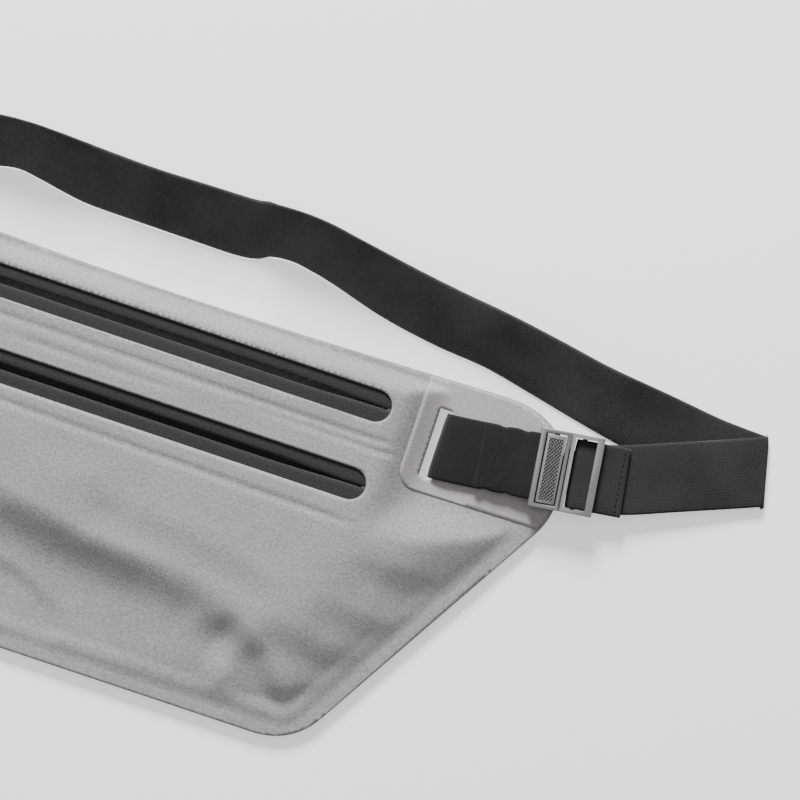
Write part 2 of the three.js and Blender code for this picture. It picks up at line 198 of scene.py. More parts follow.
# ---- camera, floor and light ----
def add_camera():
    data = bpy.data.cameras.new("camera")
    data.lens = LENS
    data.sensor_width = SENSOR
    data.clip_start = 0.01
    camera = bpy.data.objects.new("camera", data)
    bpy.context.scene.collection.objects.link(camera)
    distance = VIEW_WIDTH * LENS / SENSOR
    centre = place(*VIEW_CENTRE)
    camera.location = centre + Vector((0, 0, distance * MM))
    camera.rotation_euler = (0, 0, VIEW_ROLL)
    bpy.context.scene.camera = camera


def add_light(name, kind, location, energy, size, target=(0.05, 0.02, 0)):
    data = bpy.data.lights.new(name, kind)
    data.energy = energy
    data.size = size
    light = bpy.data.objects.new(name, data)
    light.location = location
    light.rotation_euler = (Vector(target) - Vector(location)).to_track_quat("-Z", "Y").to_euler()
    bpy.context.scene.collection.objects.link(light)


def add_studio():
    floor = bpy.data.meshes.new("floor")
    reach = 4.0
    corners = [(-reach, -reach, 0), (reach, -reach, 0), (reach, reach, 0), (-reach, reach, 0)]
    floor.from_pydata(corners, [], [(0, 1, 2, 3)])
    stage = new_object("floor", floor)
    stage.data.materials.append(floor_material())
    add_light("key", "AREA", (-0.58, 1.45, 0.85), 112, 0.5)
    add_light("top", "AREA", (-0.2, 0.3, 1.8), 12, 1.6)
    world = bpy.data.worlds.new("world")
    world.use_nodes = True
    background = world.node_tree.nodes["Background"]
    background.inputs["Color"].default_value = (0.96, 0.96, 0.96, 1)
    background.inputs["Strength"].default_value = 0.4
    bpy.context.scene.world = world


# ---- materials ----
class Nodes:
    """A material's nodes, made and linked in a line each."""

    def __init__(self, name):
        self.material = bpy.data.materials.new(name)
        self.material.use_nodes = True
        self.tree = self.material.node_tree
        self.shader = self.tree.nodes["Principled BSDF"]

    def add(self, kind, inputs=None, **settings):
        node = self.tree.nodes.new("ShaderNode" + kind)
        for key, value in settings.items():
            setattr(node, key, value)
        for key, value in (inputs or {}).items():
            if isinstance(value, bpy.types.NodeSocket):
                self.tree.links.new(value, node.inputs[key])
            else:
                node.inputs[key].default_value = value
        return node

    def link(self, socket, name):
        """Feeds the shader's input of that name from a socket."""
        self.tree.links.new(socket, self.shader.inputs[name])

    def set(self, name, value):
        """Gives the shader's input of that name a constant."""
        self.shader.inputs[name].default_value = value

    def place(self):
        """The point being shaded, in the piece's own metres."""
        return self.add("TexCoord").outputs["Object"]

    def noise(self, vector, scale, detail=3.0):
        made = self.add("TexNoise", {"Vector": vector, "Scale": scale, "Detail": detail})
        return made.outputs["Fac"]

    def ramp(self, fac, stops):
        """A colour that runs through stops of position and colour."""
        node = self.add("ValToRGB", {"Fac": fac})
        ramp = node.color_ramp
        while len(ramp.elements) < len(stops):
            ramp.elements.new(0.5)
        for element, (position, color) in zip(ramp.elements, stops):
            element.position = position
            element.color = (*color, 1)
        return node.outputs["Color"]

    def maths(self, operation, a, b):
        """One arithmetic step on sockets or numbers."""
        node = self.add("Math", {0: a, 1: b}, operation=operation)
        return node.outputs["Value"]

    def bump(self, height, distance):
        inputs = {"Height": height, "Distance": distance, "Strength": 1.0}
        return self.add("Bump", inputs).outputs["Normal"]


def grey(value, tint=(1.0, 1.0, 1.0)):
    """A grey of that linear value, tinted."""
    return tuple(value * t for t in tint)


def floor_material():
    nodes = Nodes("floor")
    nodes.set("Base Color", (0.64, 0.64, 0.64, 1))
    nodes.set("Roughness", 0.95)
    nodes.set("Emission Color", (1, 1, 1, 1))
    nodes.set("Emission Strength", 0.6)
    return nodes.material


def wave(nodes, vector, axis, pitch):
    """A fine wave across the cloth with that pitch in metres."""
    inputs = {"Vector": vector, "Scale": 2 * math.pi / pitch / 20, "Distortion": 0.6, "Detail": 1.0}
    return nodes.add("TexWave", inputs, bands_direction=axis).outputs["Fac"]


def cloth_material(name, light, dark, weave_pitch=0.0006, bump=0.00006, rough=0.85):
    """Woven cloth: speckled and mottled between two greys, with a fine weave in its bump."""
    nodes = Nodes(name)
    where = nodes.place()
    speckle = nodes.noise(where, 1050.0, 3.0)
    mottle = nodes.noise(where, 45.0, 4.0)
    mixed = nodes.maths("ADD", nodes.maths("MULTIPLY", speckle, 0.8), nodes.maths("MULTIPLY", mottle, 0.2))
    nodes.link(nodes.ramp(mixed, [(0.3, dark), (0.7, light)]), "Base Color")
    weave = nodes.maths("ADD", wave(nodes, where, "X", weave_pitch), wave(nodes, where, "Y", weave_pitch))
    height = nodes.maths("ADD", nodes.maths("MULTIPLY", weave, 0.35), nodes.maths("MULTIPLY", speckle, 2.0))
    nodes.link(nodes.bump(height, bump), "Normal")
    roughness = nodes.maths("ADD", nodes.maths("MULTIPLY", mottle, 0.1), rough - 0.05)
    nodes.link(roughness, "Roughness")
    nodes.set("Sheen Weight", 0.15)
    nodes.set("Sheen Roughness", 0.5)
    nodes.set("Specular IOR Level", 0.25)
    return nodes.material


def webbing_material(name, level, rib=0.0009, edge_highlight_reach=0.0121):
    """Ribbed elastic: ribs run across the band, with fine warp lines along it; a painted highlight runs
    along its edges, and painted light makes it paler where it leans up on its edge.
    """
    nodes = Nodes(name)
    band = nodes.add("Attribute", attribute_name="band").outputs["Vector"]
    parts = nodes.add("SeparateXYZ", {0: band})
    along = parts.outputs["X"]
    across = parts.outputs["Y"]
    ribs = nodes.maths("SINE", nodes.maths("MULTIPLY", along, 2 * math.pi / rib), 0.0)
    warp = nodes.maths("SINE", nodes.maths("MULTIPLY", across, 2 * math.pi / 0.0011), 0.0)
    knit = nodes.maths("ADD", ribs, nodes.maths("MULTIPLY", warp, 0.25))
    speckle = nodes.noise(nodes.place(), 1800.0, 2.0)
    mottle = nodes.noise(nodes.place(), 60.0, 3.0)
    tone = nodes.maths("ADD", nodes.maths("MULTIPLY", knit, 0.035), nodes.maths("ADD", speckle, mottle))
    # painted highlight: the webbing is painted lighter along both its edges
    edge = nodes.maths("GREATER_THAN", nodes.maths("ABSOLUTE", across, 0.0), edge_highlight_reach)
    tone = nodes.maths("ADD", nodes.maths("MULTIPLY", tone, 0.5), nodes.maths("MULTIPLY", edge, 0.2))
    # painted light: the band attribute's third part lifts the tone where the webbing leans up on its edge
    tone = nodes.maths("ADD", tone, parts.outputs["Z"])
    stops = [(0.32, grey(level * 0.6)), (0.68, grey(level * 1.4)), (0.9, grey(level * 3.0))]
    nodes.link(nodes.ramp(tone, stops), "Base Color")
    height = nodes.maths("ADD", knit, nodes.maths("MULTIPLY", speckle, 3.0))
    nodes.link(nodes.bump(height, 0.00005), "Normal")
    nodes.set("Roughness", 0.9)
    nodes.set("Sheen Weight", 0.12)
    nodes.set("Specular IOR Level", 0.2)
    return nodes.material


def metal_material(name, level, rough=0.38, metallic=0.75):
    """Gunmetal enamel: mottled, finely scratched, and worn lighter along its edges."""
    nodes = Nodes(name)
    where = nodes.place()
    mottle = nodes.noise(where, 90.0, 5.0)
    scratch = nodes.noise(where, 900.0, 6.0)
    edges = nodes.add("NewGeometry").outputs["Pointiness"]
    worn = nodes.ramp(edges, [(0.5, (0, 0, 0)), (0.58, (1, 1, 1))])
    base = nodes.ramp(mottle, [(0.3, grey(level * 0.85)), (0.7, grey(level * 1.12))])
    bare = (*grey(min(level * 1.9, 0.8)), 1)
    mix = nodes.add("Mix", {0: worn, 6: base, 7: bare}, data_type="RGBA")
    nodes.link(mix.outputs[2], "Base Color")
    nodes.link(nodes.maths("ADD", nodes.maths("MULTIPLY", scratch, 0.2), rough - 0.1), "Roughness")
    nodes.link(nodes.bump(scratch, 0.00002), "Normal")
    nodes.set("Metallic", metallic)
    return nodes.material


def thread_material():
    nodes = Nodes("black_thread")
    twist = nodes.noise(nodes.place(), 2500.0, 2.0)
    nodes.link(nodes.ramp(twist, [(0.35, grey(0.006)), (0.7, grey(0.028))]), "Base Color")
    nodes.link(nodes.bump(twist, 0.00005), "Normal")
    nodes.set("Roughness", 0.95)
    nodes.set("Specular IOR Level", 0.05)
    return nodes.material


POUCH_TINT = (1, 0.975, 0.985)
PATCH_TINT = (1, 0.965, 0.972)
POUCH_CLOTH = cloth_material("pouch_cloth", grey(0.262, POUCH_TINT), grey(0.155, POUCH_TINT))
PATCH_CLOTH = cloth_material("patch_cloth", grey(0.285, PATCH_TINT), grey(0.225, PATCH_TINT), bump=0.00003)
LINING = cloth_material("lining_cloth", grey(0.035), grey(0.02), weave_pitch=0.0009)
TAPE = cloth_material("zip_tape_cloth", grey(0.017), grey(0.0075), weave_pitch=0.0008, bump=0.00008)
COIL = cloth_material("nylon_coil", grey(0.05), grey(0.02), rough=0.45)
WEBBING = webbing_material("elastic_webbing", 0.0132)
LOOP_WEBBING = webbing_material("loop_webbing", 0.0055, rib=0.0013)
GUNMETAL = metal_material("gunmetal", 0.13)
BLACK_METAL = metal_material("black_enamel", 0.03, rough=0.32, metallic=0.5)
GRIP = metal_material("grip_metal", 0.055, rough=0.5)
THREAD = thread_material()


# ---- pouch surfaces ----
def ease(t):
    t = np.clip(t, 0.0, 1.0)
    return t * t * (3 - 2 * t)


def rounded_outline(corners, spacing=1.5):
    """Points along a closed outline whose corners are rounded by curves, about spacing apart."""
    mirrored = [(-x, y, cut) for x, y, cut in reversed(corners) if x > 0]
    ring = list(corners) + mirrored
    points = []
    for i, (x, y, cut) in enumerate(ring):
        corner = np.array((x, y), float)
        before = np.array(ring[i - 1][:2], float) - corner
        after = np.array(ring[(i + 1) % len(ring)][:2], float) - corner
        start = corner + before / np.linalg.norm(before) * cut
        end = corner + after / np.linalg.norm(after) * cut
        if points:
            points += line_points(points[-1], start, spacing)
        steps = max(int(cut * 1.6 / spacing), 3)
        for t in np.linspace(0, 1, steps + 1):
            points.append((1 - t) ** 2 * start + 2 * t * (1 - t) * corner + t**2 * end)
    points += line_points(points[-1], points[0], spacing)
    return np.array(points)


def line_points(start, end, spacing):
    """Points between start and end, leaving both out."""
    steps = max(int(np.linalg.norm(np.array(end) - start) / spacing), 1)
    return [start + (end - start) * k / steps for k in range(1, steps)]


def stadium_outline(reach, y, half, spacing=1.5):
    """A long window with round ends, centred on x = 0."""
    turns = np.linspace(0, math.pi, 13)
    right = [(reach - half + half * math.sin(a), y - half * math.cos(a)) for a in turns]
    left = [(-x, 2 * y - py) for x, py in right]
    points = [np.array(p) for p in right]
    points += line_points(points[-1], np.array(left[0]), spacing)
    points += [np.array(p) for p in left]
    points += line_points(points[-1], points[0], spacing)
    return np.array(points)


def slot_outline(side):
    """The strap's slot in one of the two tabs."""
    x, y, wide, high = side * SLOT["x"], SLOT["y"], SLOT["half_wide"], SLOT["half_high"]
    corners = [(x - wide, y - high), (x + wide, y - high), (x + wide, y + high), (x - wide, y + high)]
    points = []
    for i, corner in enumerate(corners):
        here = np.array(corner)
        points.append(here)
        points += line_points(here, np.array(corners[(i + 1) % 4]), 1.5)
    return np.array(points)


def inside(points, outline):
    """Which points lie inside a closed outline."""
    x, y = points[:, 0], points[:, 1]
    result = np.zeros(len(points), bool)
    for (x0, y0), (x1, y1) in zip(outline, np.roll(outline, -1, axis=0)):
        crosses = (y0 > y) != (y1 > y)
        run = x0 + (y - y0) / (y1 - y0 if y1 != y0 else 1) * (x1 - x0)
        result ^= crosses & (x < run)
    return result


def gap_to(points, ring):
    """Distance from each point to the nearest of a ring's points and the middles between them."""
    gap = np.full(len(points), 1e9)
    for spot in np.concatenate([ring, (ring + np.roll(ring, -1, axis=0)) / 2]):
        gap = np.minimum(gap, ((points - spot) ** 2).sum(1))
    return np.sqrt(gap)


def resampled(ring, spacing):
    """A closed ring with points added so that none are further apart than spacing."""
    points = []
    for start, end in zip(ring, np.roll(ring, -1, axis=0)):
        points += [start, *line_points(start, end, spacing)]
    return np.array(points)


def filled_sheet(outline, holes, spacing=1.6, lines=()):
    """Plan points and triangles that fill an outline evenly, around its holes and along lines."""
    low, high = outline.min(0), outline.max(0)
    rows = np.arange(low[1], high[1], spacing * 0.866)
    columns = np.arange(low[0], high[0], spacing)
    grid = np.array([(x + (k % 2) * spacing / 2, y) for k, y in enumerate(rows) for x in columns])
    rings = [outline, *holes]
    keep = inside(grid, outline)
    for hole in holes:
        keep &= ~inside(grid, hole)
    grid = grid[keep]
    for ring in rings:
        grid = grid[gap_to(grid, ring) > spacing * 0.6]
    for line in lines:
        grid = np.concatenate([grid[gap_to(grid, line) > 0.5], line])
    edges, points = [], []
    for ring in rings:
        first = len(points)
        points += [tuple(p) for p in ring]
        edges += [(first + i, first + (i + 1) % len(ring)) for i in range(len(ring))]
    points += [tuple(p) for p in grid]
    made = geometry.delaunay_2d_cdt([Vector(p) for p in points], edges, [], 0, 1e-4)
    plan = np.array([tuple(p) for p in made[0]])
    faces = np.array([tuple(f) for f in made[2]])
    middle = plan[faces].mean(1)
    sides = plan[faces[:, 1:]] - plan[faces[:, :1]]
    area = np.abs(sides[:, 0, 0] * sides[:, 1, 1] - sides[:, 0, 1] * sides[:, 1, 0]) / 2
    keep = inside(middle, outline) & (area > SLIVER)
    for hole in holes:
        keep &= ~inside(middle, hole)
    return plan, faces[keep]


def seam_lines():
    """Close rows of points along the seam and on both sides of it."""
    path = [np.array(p, float) for p in SEAM]
    rows = {-0.6: [], -0.3: [], 0.0: [], 0.3: [], 0.6: []}
    for start, end in zip(path, path[1:]):
        ahead = (end - start) / np.linalg.norm(end - start)
        aside = np.array((-ahead[1], ahead[0]))
        for point in [start, *line_points(start, end, 0.9)]:
            for shift, row in rows.items():
                row.append(point + aside * shift)
    return [np.array(row) for row in rows.values()]


def near_path(x, y, path):
    """Signed distance from each point to a path, positive on its right, and the depth there."""
    best = np.full(len(x), 1e9)
    signed = np.zeros(len(x))
    depth = np.zeros(len(x))
    for (x0, y0, d0), (x1, y1, d1) in zip(path, path[1:]):
        run = math.hypot(x1 - x0, y1 - y0)
        ux, uy = (x1 - x0) / run, (y1 - y0) / run
        t = np.clip(((x - x0) * ux + (y - y0) * uy) / run, 0, 1)
        away = np.hypot(x - x0 - t * run * ux, y - y0 - t * run * uy)
        aside = (x - x0) * uy - (y - y0) * ux
        closer = away < best
        best = np.where(closer, away, best)
        signed = np.where(closer, np.sign(aside) * away, signed)
        depth = np.where(closer, d0 + (d1 - d0) * ease(t), depth)
    return signed, depth


def fold_drop(x, y, width, path):
    """How far a fold lowers the cloth: down sharply across its line and gently back up."""
    signed, depth = near_path(x, y, path)
    down = ease(signed / width * 0.5 + 0.5)
    back = np.exp(-((np.maximum(signed - width, 0) / (width * 1.5)) ** 2))
    return depth * down * back


def crease_drop(x, y, width, path):
    """How far a narrow crease lowers the cloth, on both sides of its line."""
    signed, depth = near_path(x, y, path)
    return depth * np.exp(-((signed / width) ** 2))


def least(values, sharp):
    """The least of several values at each point, rounded off where two of them meet."""
    return -np.log(np.exp(-sharp * np.stack(values)).sum(0)) / sharp


def bag_rise(x, y):
    """How far the bag has risen at a point, from 0 on the bonded edge to 1 over the pockets."""
    ax = np.abs(x)
    sides = [(65.5 - y) / 8.5, ((82.07 - ax) * 0.86 + (y + 70.2) * 0.511) / 40.0, (y + 67.5) / 46.0]
    rises = [1 - (1 - np.clip(side, 0, 1)) ** 2.2 for side in sides]
    inner, lower = np.clip((104 - ax) / 22, -1, 3), np.clip((29 - y) / 26, -1, 3)
    rises.append(ease(-least([-inner, -lower], 6.0)))
    lowest = np.stack(rises).min(0)
    return np.clip(least(rises, SOFT_MEETING) + lowest * math.log(len(rises)) / SOFT_MEETING, 0, 1)


def cloth_noise(x, y, size, seed):
    """Smooth unevenness about size millimetres across, between about -1 and 1."""
    return np.array([noise.noise(Vector((a / size, b / size, seed))) for a, b in zip(x, y)])


def front_height(x, y):
    """Height of the front cloth's outer face."""
    rise = bag_rise(x, y)
    height = FLANGE_TOP - 0.1 + (POUCH_TOP - 0.2 - FLANGE_TOP) * rise
    soft = ease((8 - y) / 12) * np.minimum(rise * 3, 1)
    for width, path in FOLDS:
        room = np.maximum((height - FLANGE_TOP) * 0.92, 0.001)
        height = height - soft * room * np.tanh(fold_drop(x, y, width, path) / room)
    for width, path in CREASES:
        height = height - crease_drop(x, y, width, path)
    height = height - crease_drop(x, y, 0.45, [(px, py, 0.3) for px, py in SEAM])
    height = height + soft * 0.7 * cloth_noise(x, y, 24.0, 1.0)
    return height + 0.1 * cloth_noise(x, y, 9.0, 4.0) * np.minimum(rise + 0.4, 1)


def back_height(x, y):
    """Height of the back cloth's outer face, which sags to the table under the pockets."""
    rise = bag_rise(x, y)
    return FLANGE_LOW * (1 - ease(rise * 1.4)) + 0.02


def sheet_object(name, plan, faces, heights, thickness, material):
    """A cloth sheet with its outer face at those heights and its thickness below them."""
    vertices = [place(x, y, z) for (x, y), z in zip(plan, heights)]
    mesh = bpy.data.meshes.new(name)
    mesh.from_pydata(vertices, [], [tuple(int(i) for i in f) for f in faces])
    obj = new_object(name, mesh)
    solid = obj.modifiers.new("thickness", "SOLIDIFY")
    solid.thickness = thickness * MM
    solid.offset = -1.0
    apply_modifiers(obj)
    obj.data.materials.append(material)
    shade_smooth(obj)
    return obj


def make_front():
    outline = rounded_outline(POUCH_CORNERS)
    holes = [slot_outline(1), slot_outline(-1)]
    holes += [stadium_outline(ZIP_REACH, y, ZIP_HALF) for y in PLAN_Y.values()]
    plan, faces = filled_sheet(outline, holes, 1.15, seam_lines())
    heights = front_height(plan[:, 0], plan[:, 1])
    cloth = sheet_object("front_cloth", plan, faces, heights, CLOTH, POUCH_CLOTH)
    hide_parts("front_panel")
    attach(cloth, "pouch")


def make_back():
    outline = rounded_outline(POUCH_CORNERS)
    plan, faces = filled_sheet(outline, [slot_outline(1), slot_outline(-1)], 3.0)
    heights = back_height(plan[:, 0], plan[:, 1]) + CLOTH
    cloth = sheet_object("back_cloth", plan, faces, heights, CLOTH, POUCH_CLOTH)
    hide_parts("back_panel")
    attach(cloth, "pouch")


def make_divider():
    """The sheet between the pockets, which meets the front between the zips."""
    outline = np.array([p for p in rounded_outline(POUCH_CORNERS) if p[1] < DIVIDER_TOP])
    outline = outline * [0.8, 0.85] + [0, 2.0]
    outline[:, 0] = np.clip(outline[:, 0], -DIVIDER_REACH, DIVIDER_REACH)
    plan, faces = filled_sheet(resampled(outline, 2.0), [], 2.0)
    x, y = plan[:, 0], plan[:, 1]
    front, back = front_height(x, y), back_height(x, y)
    share = 0.5 + 0.42 * ease((y - 22) / 9)
    heights = back + (front - CLOTH - back) * share
    divider = sheet_object("divider_cloth", plan, faces, heights, DIVIDER_THICK, LINING)
    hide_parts("pocket_divider")
    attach(divider, "pouch")


def patch_outline(side):
    """The end patch: bounded by the pouch's edge, its own inner edge and a rounded corner."""
    outline = rounded_outline(POUCH_CORNERS) * [0.993, 0.988] + [0, 0.4]
    kept = [p for p in outline if side * p[0] > PATCH_X + 1 and p[1] > PATCH_Y + 0.5]
    kept.sort(key=lambda p: math.atan2(p[1] - 45, side * p[0] - 110))
    turns = np.linspace(math.pi / 2, 0, 7)
    corner = [(side * (PATCH_X + 7 * (1 - math.sin(a))), PATCH_Y + 7 * (1 - math.cos(a))) for a in turns]
    ring = np.array([*kept, (side * PATCH_X, kept[-1][1] - 0.2), *corner])
    return resampled(ring if side > 0 else ring[::-1], 1.2)


def make_patch(side, name):
    plan, faces = filled_sheet(patch_outline(side), [slot_outline(side)], 1.2)
    heights = front_height(plan[:, 0], plan[:, 1]) + PATCH_GAP
    cloth = sheet_object(name + "_cloth", plan, faces, heights, PATCH_THICK, PATCH_CLOTH)
    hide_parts(name)
    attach(cloth, "pouch")


# ---- bands of webbing and tape ----
def smooth_stations(stations, step=1.2):
    """Stations filled in along a smooth curve through them."""
    rows = [list(s) + [0.0] * (5 - len(s)) for s in stations]
    rows = np.array([rows[0], *rows, rows[-1]], float)
    made = []
    for i in range(1, len(rows) - 2):
        a, b, c, d = rows[i - 1 : i + 3]
        count = max(int(np.linalg.norm(c[:3] - b[:3]) / step), 2)
        for t in np.arange(count) / count:
            even = 2 * b + (c - a) * t + (2 * a - 5 * b + 4 * c - d) * t**2
            made.append(0.5 * (even + (3 * b - a - 3 * c + d) * t**3))
    made.append(rows[-1])
    return np.array(made)


def band_object(name, stations, width, thick, material):
    """A flat band with rounded edges along stations of x, y, z, plan angle and bank."""
    rows = smooth_stations(stations)
    points = rows[:, :3]
    ahead = np.gradient(points, axis=0)
    ahead /= np.linalg.norm(ahead, axis=1)[:, None]
    flat, lift = np.radians(rows[:, 3]), np.radians(rows[:, 4])
    across = np.stack([np.cos(flat) * np.cos(lift), np.sin(flat) * np.cos(lift), np.sin(lift)], 1)
    normal = np.cross(ahead, across)
    spread = np.linalg.norm(normal, axis=1)
    normal /= spread[:, None]
    shares = np.sin(np.linspace(-1, 1, BAND_COLUMNS + 1) * math.pi / 2)
    shares = np.linspace(-1, 1, BAND_COLUMNS + 1) * 0.5 + shares * 0.5
    ring = [(s, 1) for s in shares] + [(s, -1) for s in shares[::-1]]
    length = np.concatenate([[0], np.cumsum(np.linalg.norm(np.diff(points, axis=0), axis=1))])
    # painted light: the webbing is painted paler where it leans up on its edge, making up for the shade it
    # gets there
    painted_light = BANKED_PAINTED_LIGHT * np.minimum(np.abs(np.sin(lift)) * 2, 1.1)
    vertices, bands = [], []
    for i, point in enumerate(points):
        for share, face in ring:
            depth = thick / 2 * (0.35 + 0.65 * (1 - abs(share) ** 6))
            spot = point + across[i] * share * width / 2 / spread[i] + normal[i] * face * depth
            vertices.append(place(*spot))
            bands.append((length[i] * MM, share * width / 2 * MM, painted_light[i]))
    count = len(ring)
    faces = []
    for i in range(len(points) - 1):
        for k in range(count):
            nxt = (k + 1) % count
            faces.append((i * count + k, i * count + nxt, (i + 1) * count + nxt, (i + 1) * count + k))
    last = (len(points) - 1) * count
    for k in range(BAND_COLUMNS):
        faces.append((k, count - 1 - k, count - 2 - k, k + 1))
        faces.append((last + k, last + k + 1, last + count - 2 - k, last + count - 1 - k))
    mesh = bpy.data.meshes.new(name)
    mesh.from_pydata(vertices, [], faces)
    attribute = mesh.attributes.new("band", "FLOAT_VECTOR", "POINT")
    attribute.data.foreach_set("vector", np.array(bands, np.float32).ravel())
    tidy = bmesh.new()
    tidy.from_mesh(mesh)
    bmesh.ops.recalc_face_normals(tidy, faces=tidy.faces)
    tidy.to_mesh(mesh)
    tidy.free()
    obj = new_object(name, mesh)
    obj.data.materials.append(material)
    shade_smooth(obj)
    return obj


def from_buckle(side, x, y=0.0):
    """A plan point from the buckle's own frame, where x runs outwards along the strap."""
    px = BUCKLE_X + x * math.cos(BUCKLE_TURN) - y * math.sin(BUCKLE_TURN)
    return side * px, BUCKLE_Y + x * math.sin(BUCKLE_TURN) + y * math.cos(BUCKLE_TURN)


def across_buckle(side):
    return 90 + side * math.degrees(BUCKLE_TURN)


def wrap(side, bar_x, direction, reach):
    """Stations that wrap round a bar: in under it, round it and out over it."""
    made = []
    for step in range(7):
        angle = (-0.5 + step / 6) * math.pi
        x, y = from_buckle(side, bar_x + direction * math.cos(angle) * reach)
        made.append((x, y, BAR_Z + math.sin(angle) * 1.15, across_buckle(side)))
    return made


def anchor_loop(side):
    """The anchor loop: from behind the tab, up through the slot, round the bar and back."""
    y = SLOT["y"]

    def at(x, z, up=0.0, lean=0.0):
        return side * x, y + up, z, 90 + side * lean

    return [
        at(122, 0.7),
        at(107, 0.7),
        at(104, 0.8),
        at(102.9, 1.5),
        at(102.8, 2.6),
        at(103.3, 3.9),
        at(104.6, 4.8, 0.1, 2),
        at(108, 5.1, 0.4, 5),
        at(116, 5.0, 1.3, 6.5),
        at(124, 4.95, 2.3, 7),
        at(131, 4.95, 3.2, 7.5),
        *wrap(side, 6.7, 1, 1.4),
        (*from_buckle(side, -1), BAR_Z + 1.1, across_buckle(side)),
        (*from_buckle(side, -6), 6.5, across_buckle(side)),
        at(124, 6.2, 2.3, 7),
        at(118, 6.15, 1.5, 6.5),
    ]


def rear_run():
    run = []
    for x, y, angle, bank in REAR_RUN:
        lift = math.radians(bank)
        rise = WEB_WIDTH / 2 * math.sin(lift) + WEB_THICK / 2 * math.cos(lift) + 0.1
        run.append((x, y, rise, angle, bank))
    return run


def fold(side):
    slant = math.radians(FOLD_SLANT)
    made = []
    for step in range(7):
        roll = (0.5 - step / 6) * math.pi
        reach = math.cos(roll)
        x = side * (FOLD_X + math.cos(slant) * reach)
        made.append((x, FOLD_Y + math.sin(slant) * reach, 1.6 + math.sin(roll), 90 + side * FOLD_SLANT))
    return made


def front_run(side, start):
    return [
        (*from_buckle(side, start), 4.95, across_buckle(side)),
        (side * 172, 55.6, 4.7, 90 + side * 21),
        (side * 184, 60.4, 4.05, 90 + side * 21),
        (side * 198, 66, 3.3, 90 + side * 20),
        (side * 209, 70.4, 2.7, 90 + side * 15),
    ]


def waist_strap():
    tail = [
        (*from_buckle(1, 33), 6.2, across_buckle(1) + 2),
        (*from_buckle(1, 27), 6.4, across_buckle(1)),
        (*from_buckle(1, 22), BAR_Z + 1.1, across_buckle(1)),
    ]
    left_tail = [
        (*from_buckle(-1, 16.4), 7.7, across_buckle(-1)),
        (*from_buckle(-1, 21), 7.7, across_buckle(-1)),
        (*from_buckle(-1, 27), 6.4, across_buckle(-1)),
        (-172, 55.6, 6.2, 69),
        (-184, 60.4, 5.55, 69),
        (-198, 66, 4.8, 70),
    ]
    return [
        *tail,
        *wrap(1, 15.4, -1, 1.9)[::-1],
        *front_run(1, 25),
        *fold(1),
        *rear_run(),
        *fold(-1)[::-1],
        *front_run(-1, 25)[::-1],
        *wrap(-1, 13.4, -1, 1.4),
        *left_tail,
    ]


def crumple(obj):
    """Gives a piece of the right loop its own copy of its mesh."""
    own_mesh(obj)


def pucker(loop, side):
    """Draws the loop in at its rows of stitches and lets it bulge between them."""
    for vertex in loop.data.vertices:
        x, y, z = side * vertex.co.x / MM, vertex.co.y / MM - SHIFT_Y, vertex.co.z / MM
        if not 112 < x < 137 or z < 4:
            continue
        centre = SLOT["y"] + 0.12 * (x - 104)
        pull = sum(math.exp(-(((x - row) / 1.3) ** 2)) for row in PUCKERS)
        ripple = noise.noise(Vector((x / 3.0, y / 5.0, 7.0 + side)))
        fade = float(ease((x - 112) / 5) * ease((137 - x) / 4))
        vertex.co.y += (centre - y) * 0.045 * pull * fade * MM
        if z > 5.6:
            vertex.co.z += fade * (0.3 * max(ripple, -0.3) - 0.12 * pull + 0.12) * MM
    loop.data.update()


def make_webbing():
    strap = band_object("waist_strap_webbing", waist_strap(), WEB_WIDTH, WEB_THICK, WEBBING)
    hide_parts("waist_strap")
    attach(strap, "pouch")
    for side, name in ((1, "right_anchor_loop"), (-1, "left_anchor_loop")):
        loop = band_object(name + "_webbing", anchor_loop(side), LOOP_WIDTH, WEB_THICK, LOOP_WEBBING)
        pucker(loop, side)
        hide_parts(name)
        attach(loop, "pouch")
        if side > 0:
            crumple(loop)


# ---- stitches ----
def stitch_mesh(builder, middle, along, length, radius):
    """One stitch: a short round-ended thread that dips into the cloth at both ends."""
    along = along.normalized()
    side = along.cross(Vector((0, 0, 1))).normalized()
    up = side.cross(along)
    rings = []
    for share in np.linspace(-1, 1, 7):
        round_end = math.sqrt(max(1 - abs(share) ** 3, 0.06))
        centre = middle + along * share * length / 2 - up * radius * 1.2 * share * share
        ring = []
        for k in range(6):
            a = k * math.pi / 3
            out = (side * math.cos(a) + up * math.sin(a)) * radius * round_end
            ring.append(builder.verts.new(centre + out))
        rings.append(ring)
    for first, second in zip(rings, rings[1:]):
        for k in range(6):
            builder.faces.new((first[k], first[(k + 1) % 6], second[(k + 1) % 6], second[k]))
    builder.faces.new(rings[0][::-1])
    builder.faces.new(rings[-1])


def stitch_rows(name, rows, body):
    """Rows of stitches; each row is its start, its end, and the stitches in it."""
    builder = bmesh.new()
    for start, end, count in rows:
        start, end = Vector(start), Vector(end)
        pitch = (end - start) / count
        for k in range(count):
            stitch_mesh(builder, start + pitch * (k + 0.5), pitch, pitch.length * 0.72, 0.00022)
    mesh = bpy.data.meshes.new(name)
    bmesh.ops.recalc_face_normals(builder, faces=builder.faces)
    builder.to_mesh(mesh)
    builder.free()
    obj = new_object(name, mesh)
    obj.data.materials.append(THREAD)
    shade_smooth(obj)
    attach(obj, body)
    return obj


def row_across(x, y, z, angle, half):
    """Start and end of a row that crosses a band at that plan angle."""
    lean = math.radians(angle)
    dx, dy = math.cos(lean) * half, math.sin(lean) * half
    return place(x - dx, y - dy, z), place(x + dx, y + dy, z)


